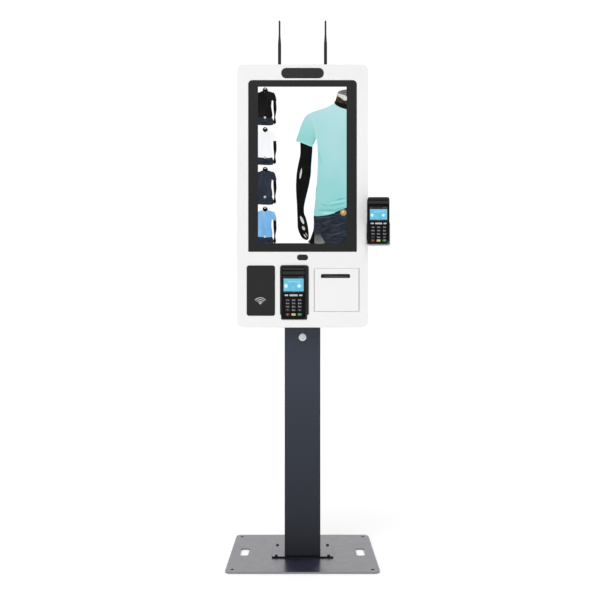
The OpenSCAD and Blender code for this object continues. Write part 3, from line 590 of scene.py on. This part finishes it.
def make_picture():
    """A shop page: four garments down the left, and a large one cut off by the screen's right edge."""
    page = [(0, 0), (SCREEN_W / MM, 0), (SCREEN_W / MM, SCREEN_H / MM), (0, SCREEN_H / MM)]
    picture("picture_page", [page], 0, PAGE)
    rows = [THUMB_STEP * i for i in range(len(SHIRTS))]
    for i, surface in enumerate(SHIRTS):
        picture(f"picture_shirt_{i + 1}", lowered(curve(THUMB_SHIRT), rows[i:i + 1]), 2, surface)
    figures = lowered(curve(THUMB_NECK), rows) + lowered(curve(THUMB_ARM), rows)
    picture("picture_figures", figures + [curve(NECK), curve(ARM)], 1, FIGURE)
    picture("picture_jeans", lowered(curve(THUMB_JEANS), rows) + [curve(JEANS)], 1.5, DENIM)
    picture("picture_large_shirt", [curve(SHIRT)], 2, TEAL_CLOTH)
    picture("picture_sleeve", [curve(SLEEVE)], 2.3, TEAL_SLEEVE)
    shades = [leaf(181, 198, 187, 146, 12), leaf(203, 214, 213, 262, 6), leaf(203, 402, 262, 400, 8),
              leaf(196, 404, 196, 330, 6), leaf(240, 388, 295, 372, 6)]
    picture("picture_shades", shades, 2.5, TEAL_SHADE)
    folds = [leaf(196, 412, 262, 414, 7), leaf(246, 417, 294, 401, 6), leaf(233, 399, 296, 388, 4.5),
             leaf(206, 392, 236, 400, 4), leaf(184, 195, 190, 168, 5), leaf(262, 378, 296, 372, 4)]
    picture("picture_folds", folds, 3, TEAL_FOLD)
    lights = [leaf(236, 391, 294, 380, 5), leaf(208, 423, 258, 422, 6), leaf(132, 180, 178, 196, 3.5)]
    picture("picture_fold_lights", lights, 3, TEAL_LIGHT)
    creases = [leaf(200, 440, 260, 434, 4), leaf(214, 455, 250, 449, 3), leaf(240, 470, 290, 456, 4),
               leaf(226, 500, 292, 486, 4), leaf(256, 430, 294, 420, 3)]
    picture("picture_denim_lights", creases, 2.5, DENIM_LIGHT)
    picture("picture_denim_fade", [curve(JEANS_FADE)], 2.4, DENIM_FADE)
    picture("picture_denim_side", [curve(JEANS_SIDE)], 2.8, FIGURE)
    picture("picture_neck_middle", [curve(NECK_MIDDLE)], 2.2, UMBER)
    picture("picture_neck_top", [curve(NECK_TOP)], 2.4, STONE)
    shines = [leaf(146, 272, 140, 309, 5.5), leaf(141, 432, 153.5, 460, 8), leaf(148, 466, 156, 480, 8),
              leaf(152, 492, 162, 506, 2.5), leaf(158, 488, 166, 500, 2), curve(NECK_LIGHT)]
    shines += lowered(round_outline(4, at=(23, 103)), rows) + lowered(leaf(19, 7, 28, 7, 3), rows)
    picture("picture_shines", shines, 4, SHINE)
    picture("picture_button", [round_outline(10.5, at=(285.5, 421))], 3, GOLD)
    picture("picture_button_light", [round_outline(5, 4, at=(284.5, 419))], 4, GOLD_LIGHT)


make_picture()


# ---------------------------------------------------------------- card terminals

KEY_NAMES = ["left", "menu", "right", "1", "2", "3", "4", "5", "6", "7", "8", "9", "star", "0", "hash",
             "cancel", "clear", "enter"]
KEY_SURFACES = {"left": KEY_LIGHT, "menu": KEY_LIGHT, "right": KEY_LIGHT,
                "cancel": KEY_RED, "clear": KEY_YELLOW, "enter": KEY_GREEN}
KEY_LEGENDS = {"star": "*", "hash": "#", "cancel": "X", "clear": "<", "enter": "O"}
KEY_SLOTS = {"left": "key_light", "menu": "key_light", "right": "key_light",
             "cancel": "key_red", "clear": "key_yellow", "enter": "key_green"}

LCD_SKY = lit("lcd_sky", (0.13, 0.49, 0.70), (0.19, 0.60, 0.80), 60)
LCD_MIST = lit("lcd_mist", (0.15, 0.53, 0.75), (0.20, 0.60, 0.81), 90)
LCD_PALE = lit("lcd_pale", (0.22, 0.66, 0.86), (0.30, 0.74, 0.92), 90)
LCD_WHITE = lit("lcd_white", (0.70, 0.92, 0.98), (0.90, 0.98, 1.0), 200)
LCD_ICON = lit("lcd_icon", (0.14, 0.20, 0.24), (0.30, 0.38, 0.42), 200)


def key_boxes(terminal):
    """Boxes of a terminal's keys in KEY_NAMES order."""
    if terminal == "pos":
        return {key: box("pos_key_" + key)[:2] for key in KEY_NAMES}
    rows = sorted(solids("side_keypad"), key=lambda b: (-round(b[0].z + b[1].z, 4), b[0].x))
    return dict(zip(KEY_NAMES, rows))


def key_cap(terminal, key, low, high, node):
    """A soft key with a rounded rim, a shallow dish and a raised mark; its body is named as its node."""
    w, h = high.x - low.x, high.z - low.z
    at = ((low.x + high.x) / 2, (low.z + high.z) / 2)
    surface = KEY_SURFACES.get(key, KEY_DARK)
    loops = []
    for depth, inset in ((None, 0), (1.1, 0), (0.55, 0.1), (0.2, 0.35), (0.02, 0.85), (0.05, 1.3),
                         (0.28, 2.1)):
        y = high.y if depth is None else low.y + depth * MM
        inset *= MM
        outline = oblong(w - 2 * inset, h - 2 * inset, max(2.0 * MM - inset, 0.3 * MM), at=at, steps=4)
        loops.append([(x, y, z) for x, z in outline])
    piece = Piece(f"{terminal}_cap_{key}").skin(loops, surface)
    mark = KEY_LEGENDS.get(key, key if key.isdigit() else None)
    if mark:
        aside = 0.22 * w if key.isdigit() else 0
        piece.text(mark, (at[0] - aside, low.y + 0.18 * MM, at[1]), 0.92 * h, LEGEND, 0.3 * MM)
        for i in range(3 if aside else 0):
            spot = (at[0] + (0.6 + 1.8 * i) * MM, at[1] - 0.06 * h)
            bar = oblong(1.1 * MM, 0.30 * h, 0.3 * MM, at=spot, steps=2)
            piece.plate(bar, low.y - 0.02 * MM, low.y + 0.3 * MM, LEGEND)
    piece.done(node, KEY_SLOTS.get(key, "key_dark"), [node])


def terminal_shell(terminal, body):
    """Moulded housing: a slab with a stepped hood, a tapered foot, key pockets and card slots."""
    low, high, middle, size = box(terminal + "_housing")
    face = low.y + 3 * MM
    back, w, h = high.y, size.x, size.z
    # Share of the height, how far each side stands in, front and back stand-in; all in millimetres
    stations = [(0.0, 11.5, 6.0, 8.0), (0.012, 8.0, 2.6, 4.0), (0.035, 4.8, 0.9, 1.5),
                (0.075, 2.4, 0.1, 0.3), (0.14, 1.1, 0, 0), (0.22, 0.4, 0, 0), (0.40, 0.1, 0, 0),
                (0.60, 0, 0, 0), (0.840, 0.1, 0, 0), (0.844, 0.1, -2.2, 0), (0.914, 0.2, -2.6, 0),
                (0.918, 0.2, -1.7, 0), (0.932, 0.3, -1.8, 0), (0.936, 0.4, -2.4, 0),
                (0.972, 1.0, -1.6, 0.6), (0.985, 2.2, 0.2, 2.2), (0.996, 4.6, 2.4, 5),
                (1.0, 6.6, 4.6, 8)]
    loops = []
    for share, side, front, rear in stations:
        y0, y1 = face + front * MM, back - rear * MM
        outline = oblong(w - 2 * side * MM, y1 - y0, 7 * MM, 2.2 * MM, (middle.x, (y0 + y1) / 2), 5)
        loops.append([(x, y, low.z + share * h) for x, y in outline])
    shell = Piece(terminal + "_shell").skin(loops, TERMINAL)

    caps = key_boxes(terminal)
    pockets = Piece("pockets")
    for key_low, key_high in caps.values():
        at = ((key_low.x + key_high.x) / 2, (key_low.z + key_high.z) / 2)
        outline = oblong(key_high.x - key_low.x + 0.6 * MM, key_high.z - key_low.z + 0.6 * MM, 2.2 * MM,
                         at=at, steps=4)
        pockets.plate(outline, face - 2 * MM, key_high.y + 1.6 * MM, TERMINAL)
    glass_low, glass_high, glass_middle, glass_size = box(terminal + "_screen")
    opening = oblong(glass_size.x + 0.4 * MM, glass_size.z + 0.4 * MM, 3.2 * MM,
                     at=(glass_middle.x, glass_middle.z))
    recess = Piece("recess").plate(opening, face - 4 * MM, glass_high.y + 0.1 * MM, TERMINAL)
    slots = Piece("slots")
    slots.plate(oblong(56 * MM, 14 * MM, 1 * MM, at=(middle.x, low.z)),
                face + 12 * MM, face + 14.4 * MM, TERMINAL)
    slots.plate(oblong(3 * MM, 0.74 * h, 1 * MM, at=(middle.x + w / 2, low.z + 0.55 * h)),
                face + 9 * MM, face + 10.4 * MM, TERMINAL)
    slots.plate(oblong(0.6 * w, 0.30 * h, 3 * MM, at=(middle.x, low.z + 0.3 * h)),
                back - 0.8 * MM, back + MM, TERMINAL)
    seam = oblong(w - 1.2 * MM, h - 1.2 * MM, 6 * MM, 12 * MM, (middle.x, middle.z))
    around = oblong(w + 6 * MM, h + 6 * MM, 9 * MM, 15 * MM, (middle.x, middle.z))
    slots.ring(around, seam, face + 17 * MM, face + 17.5 * MM, TERMINAL)
    shell.done(body, "terminal_plastic", [terminal + "_housing"], cutters=(pockets, recess, slots))

    hood = Piece(terminal + "_hood_panel")
    for bottom, top, front in ((0.849, 0.911, -2.75), (0.939, 0.972, -2.55)):
        at = (middle.x, low.z + (top + bottom) / 2 * h)
        outline = oblong(w - 3.4 * MM, (top - bottom) * h, 2 * MM, at=at)
        hood.plate(outline, face + front * MM, face - MM, HOOD)
    hood.done(body, "terminal_plastic")
    for key, (key_low, key_high) in caps.items():
        node = "pos_key_" + key if terminal == "pos" else "side_keypad"
        key_cap(terminal, key, key_low, key_high, node)


def lcd_picture(terminal, body):
    """Lit blue panel with a paler heading, two soft-key marks, and a dark band of small icons above."""
    low, high, middle, size = box(terminal + "_screen")
    w, h = size.x - 6.6 * MM, size.z - 13 * MM
    centre = middle.z - 1.5 * MM
    top, y = centre + h / 2, low.y - 0.05 * MM

    def part(name, outlines, layer, surface):
        piece = Piece(f"{terminal}_lcd_{name}")
        for outline in outlines:
            piece.plate(outline, y - 0.04 * MM * layer, low.y + 0.3 * MM, surface)
        piece.done(body, "lcd")

    part("panel", [oblong(w, h, 1.2 * MM, at=(middle.x, centre))], 0, LCD_SKY)
    part("mist", [oblong(w * 0.97, h * 0.16, 1 * MM, at=(middle.x, top - h * 0.09)),
                  oblong(w * 0.10, h * 0.80, 1 * MM, at=(middle.x + 0.44 * w, centre - 0.06 * h))],
         1, LCD_MIST)
    part("heading", [oblong(w * 0.62, h * 0.09, 1 * MM, at=(middle.x, top - h * 0.25))], 1, LCD_PALE)
    blobs = ((-0.38, 0.085, 0.105), (0.28, 0.095, 0.09))
    spots = [(middle.x + u * w, centre - 0.08 * h, rx * w, rz * h * 1.5) for u, rx, rz in blobs]

    def ovals(grow):
        return [[(x + grow * rx * a, z + grow * rz * b) for a, b in round_outline(1.0)]
                for x, z, rx, rz in spots]

    part("halos", ovals(1.25), 1, LCD_PALE)
    part("marks", ovals(0.8), 2, LCD_WHITE)
    band = top + 4.6 * MM
    icons = [oblong(1.6 * MM, 1.5 * MM, 0.4 * MM, at=(middle.x + x * w, band))
             for x in (-0.44, 0.40, 0.45)]
    icons.append(oblong(5 * MM, 1.1 * MM, 0.3 * MM, at=(middle.x + 0.31 * w, band)))
    icons.append(oblong(9 * MM, 0.8 * MM, 0.3 * MM, at=(middle.x, centre - h / 2 - 2 * MM)))
    part("icons", icons, 1, LCD_ICON)


for terminal, body in (("pos", "stand"), ("side", "side_cradle")):
    terminal_shell(terminal, body)
    lcd_picture(terminal, body)


# ---------------------------------------------------------------- small fittings on the outside

def reader_mark():
    """Waves and a wedge on the contactless reader, as raised print."""
    low, high, middle, size = box("nfc_cover")
    at = (middle.x - 1.7 * MM, low.z + 0.240 * size.z)
    front, back = low.y - 0.12 * MM, low.y + 0.3 * MM
    piece = Piece("reader_waves")
    for reach, half in ((9.2, 50), (15.6, 51), (22.0, 53)):
        arc = []
        for r, turn in ((reach - 0.85, 1), (reach + 0.85, -1)):
            for i in range(17):
                a = math.radians(90 - turn * half * (1 - i / 8))
                arc.append((at[0] + r * MM * math.cos(a), at[1] + r * MM * math.sin(a)))
        piece.plate(arc, front, back, PRINT)
    wedge = [(0, 0), (4.2, 4.2), (2.2, 5.6), (0, 6), (-2.2, 5.6), (-4.2, 4.2)]
    piece.plate([(at[0] + u * MM, at[1] + v * MM) for u, v in wedge], front, back, PRINT)
    piece.done("stand", "black_plastic")


JOINTS = {joint["name"]: joint for joint in frame["record"]["behaviour"]["joints"]}
PIVOT_Z = JOINTS["antenna_left_fold"]["pos_m"][2]


def antenna_mast(side):
    """Folding knuckle and a tapered whip with a rounded tip."""
    low, high, middle, size = box(f"antenna_{side}_mast")
    r, tip = 5.5 * MM, 3.2 * MM
    reach = high.z - PIVOT_Z
    piece = Piece(f"antenna_{side}_whip")
    cheek = curve([(-4.9, 9), (-5.1, 3), (-4.4, -2.6), (0, -5.2), (4.4, -2.6), (5.1, 3), (4.9, 9)])
    loops = [[(middle.x + x, middle.y + u * MM, PIVOT_Z + v * MM) for u, v in cheek]
             for x in (-2.3 * MM, 2.3 * MM)]
    piece.skin(loops, PLASTIC)
    profile = [(r * 0.86, 6.0 * MM), (r, 7.2 * MM), (r, reach * 0.46)]
    for i in range(1, 9):
        t = i / 8
        profile.append((r + (tip - r) * t * t * (3 - 2 * t), reach * (0.46 + 0.26 * t)))
    profile += [(tip * math.cos(a), reach - tip + tip * math.sin(a)) for a in (0, 0.4, 0.8, 1.2, 1.45)]
    piece.turned(profile, (middle.x, middle.y, PIVOT_Z), PLASTIC, count=28)
    piece.done(f"antenna_{side}_mast", "black_plastic", [f"antenna_{side}_mast"])


def lock_face():
    """Polished lock: a chamfered flange and barrel, bored for the CAD plug with its keyway, and the
    retaining nut behind.
    """
    low, high, middle, size = box("lock_housing")
    front, r = low.y, size.x / 2
    bore, barrel = 6.15 * MM, 9 * MM
    panel = front + 3 * MM
    profile = [(bore, front + 0.9 * MM), (bore + 0.5 * MM, front + 0.3 * MM), (r - 3.2 * MM, front),
               (r - 1.2 * MM, front + 0.5 * MM), (r, front + 1.8 * MM), (r, panel), (barrel, panel),
               (barrel, high.y), (bore, high.y)]
    piece = Piece("lock_barrel").turned(profile, (middle.x, 0, middle.z), CHROME, "Y", 56, closed=True)
    across = barrel + 4 * MM
    nut = [(barrel, panel + 3 * MM), (across, panel + 3 * MM, 6), (across, panel + 6 * MM, 6),
           (barrel, panel + 6 * MM)]
    piece.turned(nut, (middle.x, 0, middle.z), STEEL, "Y", 48, closed=True)
    piece.done("cover", "lock_chrome", ["lock_housing"])
    washer = Piece("lock_washer")
    loop = [(r - MM, panel), (r + 0.9 * MM, panel), (r + 1.3 * MM, panel - 0.3 * MM),
            (r - MM, panel - 0.6 * MM)]
    washer.turned(loop, (middle.x, 0, middle.z), RUBBER, "Y", 56, closed=True)
    washer.done("cover", "rubber")


def printer_details():
    """Dark strips as painted shade in the gaps at three sides of the printer's door, the paper's run from
    roll to platen, and a gear.
    """
    low, high, middle, size = box("printer_door")
    gap_shade = Piece("door_gap_shade")
    gap, front = 0.7 * MM, low.y - 0.15 * MM
    left, right, bottom, top = low.x - gap, high.x + gap, low.z - gap, high.z + gap
    # painted shade: dark rubber strips in the door's gap, widest at the left where the gap lies deepest
    # in shade
    for x0, x1, z0, z1 in ((left - 0.9 * MM, left, bottom, top - 6 * MM),
                           (right, right + 0.25 * MM, bottom, top),
                           (left, right, bottom - 0.2 * MM, bottom)):
        gap_shade.plate(oblong(x1 - x0, z1 - z0, 0.09 * MM, at=((x0 + x1) / 2, (z0 + z1) / 2), steps=1),
                   front, low.y + 0.4 * MM, RUBBER)
    gap_shade.done("stand", "rubber")

    roll_low, roll_high, roll, roll_size = box("paper_roll")
    platen_low, platen_high, platen, platen_size = box("printer_platen")
    run = [(roll_low.y, roll.z + 4 * MM), (roll_low.y + 0.6 * MM, roll.z + 30 * MM),
           (platen.y + 6.1 * MM, platen.z - 2 * MM), (platen.y + 4.2 * MM, platen.z + 4.6 * MM),
           (platen.y, platen.z + 6.2 * MM), (platen.y - 9 * MM, platen.z + 7.9 * MM),
           (platen.y - 15 * MM, platen.z + 8.0 * MM)]
    web = Piece("paper_web")
    line = curve(run)
    sheet = line + [(y + 0.12 * MM, z - 0.12 * MM) for y, z in reversed(line)]
    sides = (roll_low.x + 0.6 * MM, roll_high.x - 0.6 * MM)
    web.skin([[(x, y, z) for y, z in sheet] for x in sides], PAPER)
    web.done("stand", "paper")

    gear = Piece("platen_gear")
    teeth = [(r * MM * math.cos(a), r * MM * math.sin(a))
             for r, a in ((9.0 if i % 4 in (1, 2) else 7.6, 2 * math.pi * i / 96) for i in range(96))]
    gear.skin([[(x, platen.y + u, platen.z + v) for u, v in teeth]
               for x in (platen_high.x - 1.2 * MM, platen_high.x + 1.6 * MM)], TERMINAL)
    gear.done("printer_platen", "black_plastic")


def board_details():
    """Heat sink, shielded connectors, capacitors and chips on the main board."""
    low, high, middle, size = box("mainboard")
    at = (middle.x - 30 * MM, middle.z + 20 * MM)
    sink = Piece("heat_sink")
    sink.plate(oblong(71 * MM, 61 * MM, 1 * MM, at=at), high.y + 1.6 * MM, high.y, STEEL)
    for i in range(13):
        fin = oblong(1.3 * MM, 59 * MM, 0.4 * MM, at=(at[0] + (i - 6) * 5.4 * MM, at[1]), steps=1)
        sink.plate(fin, high.y + 12 * MM, high.y + 1.4 * MM, STEEL)
    sink.ring(oblong(72 * MM, 62 * MM, 2 * MM, at=at), oblong(70.1 * MM, 60.1 * MM, 1.5 * MM, at=at),
              high.y, high.y - 15.5 * MM, PLASTIC)
    sink.done("stand", "steel")

    ports = Piece("board_connectors")
    for x in (30, 52, 74):
        place = (middle.x + x * MM, middle.z - 62 * MM)
        back = high.y - 2 * MM
        outer = oblong(18 * MM, 21 * MM, 1 * MM, at=place)
        inner = oblong(17.1 * MM, 20.1 * MM, 1 * MM, at=place)
        ports.ring(outer, inner, back + 0.4 * MM, back - 13.6 * MM, STEEL)
        ports.plate(oblong(16.4 * MM, 19.4 * MM, 0.8 * MM, at=place), back + 0.5 * MM, back, STEEL)
    ports.done("stand", "steel")

    chance = random.Random(11)
    chips = Piece("board_chips")
    face = high.y - 16 * MM
    for column in range(8):
        for row in range(5):
            x = -84 + 23.5 * column + chance.uniform(-5, 5)
            z = -46 + 23 * row + chance.uniform(-4, 4)
            if -72 < x < 12 and -16 < z < 56:
                continue
            w, h = chance.uniform(4, 12), chance.uniform(4, 10)
            place = (middle.x + x * MM, middle.z + z * MM)
            chips.plate(oblong(w * MM, h * MM, 0.3 * MM, at=place, steps=1),
                        face + chance.uniform(0.8, 2) * MM, face, PLASTIC)
    chips.done("stand", "black_plastic")
    cans = Piece("board_capacitors")
    for i in range(5):
        profile = [(3.2 * MM, face), (3.2 * MM, face + 8.4 * MM), (2.7 * MM, face + 9 * MM)]
        cans.turned(profile, (middle.x + 88 * MM, 0, middle.z + (8 + 12 * i) * MM), STEEL, "Y", 20)
    cans.done("stand", "steel")


def supply_details():
    """Fan with its wire guard on the power supply, and stamped ribs on the display's back."""
    low, high, middle, size = box("power_supply")
    fan = Piece("supply_fan")
    hub = (middle.x, 0, middle.z)
    fan.turned([(34 * MM, high.y), (34 * MM, high.y + 0.3 * MM)], hub, PLASTIC, "Y", 48)
    for r in (9, 16, 23, 30):
        near, far = high.y + 0.2 * MM, high.y + 1.6 * MM
        ring = [(r * MM, near), (r * MM, far), ((r + 1.5) * MM, far), ((r + 1.5) * MM, near)]
        fan.turned(ring, hub, STEEL, "Y", 48, closed=True)
    for i in range(4):
        spoke = Matrix.Translation(hub) @ Matrix.Rotation(math.radians(45 + 90 * i), 4, "Y")
        fan.plate(oblong(3 * MM, 25 * MM, 1 * MM, at=(0, 22 * MM)),
                  high.y + 1.9 * MM, high.y + 0.3 * MM, STEEL, turn=spoke)
    fan.done("stand", "steel")

    low, high, middle, size = box("display_module")
    ribs = Piece("display_ribs")
    for x in (-135, 135):
        ribs.plate(oblong(9 * MM, 500 * MM, 4 * MM, at=(middle.x + x * MM, middle.z)),
                   high.y + 1.4 * MM, high.y, DISPLAY_BACK)
    ribs.plate(oblong(210 * MM, 56 * MM, 4 * MM, at=(middle.x, low.z + 46 * MM)),
               high.y + 7 * MM, high.y, STEEL)
    for x in (-98, 98):
        head = [(2.6 * MM, high.y + 7 * MM), (2.4 * MM, high.y + 8.4 * MM), (1.6 * MM, high.y + 8.8 * MM)]
        ribs.turned(head, (middle.x + x * MM, 0, low.z + 46 * MM), STEEL, "Y", 20)
    ribs.done("stand", "steel")


def speaker_cones():
    """A surround and a paper cone in each speaker, facing outwards."""
    low, high, middle, size = box("speakers")
    cones = Piece("speaker_cones")
    for side in (-1, 1):
        outer = middle.x + side * (size.x / 2 - 0.8 * MM)
        profile = [(18.6, 0), (17, -0.8), (15.5, 0), (6, -7), (5, -4.4), (2.5, -3.2)]
        cones.turned([(r * MM, side * reach * MM) for r, reach in profile],
                     (outer, middle.y, middle.z), RUBBER, "X", 40)
    cones.done("stand", "black_plastic")


def floor_hardware():
    """Socket screws that level the base plate, a black band at the flange's edge as painted shade, and
    the mains inlet's pins.
    """
    low, high, middle, size = box("base_plate")
    screws = Piece("levelling_screws")
    hole_x, hole_y = 228 * MM, 176.5 * MM
    profile = [(2.0, 3.2, 6), (2.0, 6.3, 6), (5.2, 6.3), (5.5, 6.02), (4.45, 6.02), (4.45, 0.4)]
    profile = [(entry[0] * MM, entry[1] * MM) + entry[2:] for entry in profile]
    for x in (-hole_x, hole_x):
        for y in (-hole_y, hole_y):
            screws.turned(profile, (x, y, low.z), SCREW, "Z", 24)
    screws.done("stand", "black_steel")

    low, high, middle, size = box("foot_flange")
    edge_shade = Piece("flange_edge_shade")
    loops = []
    # painted shade: a black band around the flange's foot, standing in for the shadow at its edge
    foot, brim = low.z + 0.2 * MM, high.z + 0.1 * MM
    for grow, z in ((0.3, foot), (0.3, brim), (-0.3, brim), (-0.3, foot)):
        outline = oblong(size.x + 2 * grow * MM, size.y + 2 * grow * MM, 3 * MM, at=(middle.x, middle.y))
        sink = 0.5 * MM if z == brim else 0       # the painted shade shows at the front edge only
        loops.append([(x, y, z - (sink if y > middle.y else 0)) for x, y in outline])
    edge_shade.skin(loops, FLANGE_SHADE, closed=True)
    edge_shade.done("stand", "black_steel")

    low, high, middle, size = box("power_inlet")
    pins = Piece("inlet_pins")
    for x, z in ((-7, -1.5), (0, 2.5), (7, -1.5)):
        pins.plate(oblong(2.2 * MM, 4.2 * MM, 0.4 * MM, at=(middle.x + x * MM, middle.z + z * MM)),
                   high.y - 3 * MM, high.y - 20 * MM, BRASS)
    pins.done("stand", "brass")


printer_details()
board_details()
supply_details()
speaker_cones()
floor_hardware()
reader_mark()
lock_face()
for side in ("left", "right"):
    antenna_mast(side)


# ---------------------------------------------------------------- floor and light

SUN_POWER = 1.05
SUN_WAY = (0.2, 0.6, -0.75)
DOME = 0.79
DOME_TILT = (-0.06, 0.0, 0.22)
GLOW_WAY = (0, 0.95, 0.31)       # low behind, mirrored by the base plate
GLOW = 0.45
GLOW_SPREAD = (0.72, 0.94)       # cosines between which the glow rises
DARK = 0.38                      # what is left of the light from behind the camera
DARK_SPREAD = (0.80, 0.97)
BACKDROP = 1.05
FLOOR_SIZE = 60
FLOOR_LIFT = 0.07                # keeps the floor as white as the backdrop


def make_floor():
    """Plain pale paper, too wide for its edge to show."""
    bpy.ops.mesh.primitive_plane_add(size=FLOOR_SIZE)
    floor = bpy.context.object
    floor.name = "floor"
    s = Surface("floor_paper", (0.995, 0.995, 0.995), 0.8)
    s.tint(s.noise(3, 3), (0.97, 0.97, 0.97), (1, 1, 1), socket="Emission Color")
    s.shader.inputs["Emission Strength"].default_value = FLOOR_LIFT
    s.bump(s.noise(200, 2), 0.00003)
    paint(floor, s)


def make_world():
    """White to the camera; as light, a soft white tent, dimmer where the photographer stands."""
    world = bpy.data.worlds.new("studio")
    bpy.context.scene.world = world
    world.use_nodes = True
    tree = world.node_tree
    nodes, links = tree.nodes, tree.links
    way = nodes.new("ShaderNodeTexCoord").outputs["Generated"]

    def along(direction):
        dot = nodes.new("ShaderNodeVectorMath")
        dot.operation = "DOT_PRODUCT"
        dot.inputs[1].default_value = direction
        links.new(way, dot.inputs[0])
        return dot.outputs["Value"]

    def ranged(source, values):
        node = nodes.new("ShaderNodeMapRange")
        for socket, value in zip(("From Min", "From Max", "To Min", "To Max"), values):
            node.inputs[socket].default_value = value
        links.new(source, node.inputs["Value"])
        return node.outputs["Result"]

    def combined(operation, first, second):
        node = nodes.new("ShaderNodeMath")
        node.operation = operation
        links.new(first, node.inputs[0])
        links.new(second, node.inputs[1])
        return node.outputs["Value"]

    level = ranged(along(DOME_TILT), (-1, 1, DOME - 1, DOME + 1))
    spot = ranged(along((0, -1, 0)), (*DARK_SPREAD, 1.0, DARK))
    glow = ranged(along(GLOW_WAY), (*GLOW_SPREAD, 0, GLOW))
    light = nodes.new("ShaderNodeBackground")
    strength = combined("ADD", combined("MULTIPLY", level, spot), glow)
    links.new(strength, light.inputs["Strength"])
    shown = nodes["Background"]
    shown.inputs["Color"].default_value = (1, 1, 1, 1)
    shown.inputs["Strength"].default_value = BACKDROP
    mix = nodes.new("ShaderNodeMixShader")
    path = nodes.new("ShaderNodeLightPath")
    links.new(path.outputs["Is Camera Ray"], mix.inputs["Fac"])
    links.new(light.outputs["Background"], mix.inputs[1])
    links.new(shown.outputs["Background"], mix.inputs[2])
    links.new(mix.outputs["Shader"], nodes["World Output"].inputs["Surface"])


def make_sun():
    """A broad soft key from the upper left, in front."""
    data = bpy.data.lights.new("key", "SUN")
    data.energy = SUN_POWER
    data.angle = math.radians(50)
    lamp = bpy.data.objects.new("key", data)
    lamp.rotation_euler = Vector(SUN_WAY).to_track_quat("-Z", "Y").to_euler()
    bpy.context.scene.collection.objects.link(lamp)


make_floor()
make_world()
make_sun()
bpy.context.scene.view_settings.view_transform = "Standard"
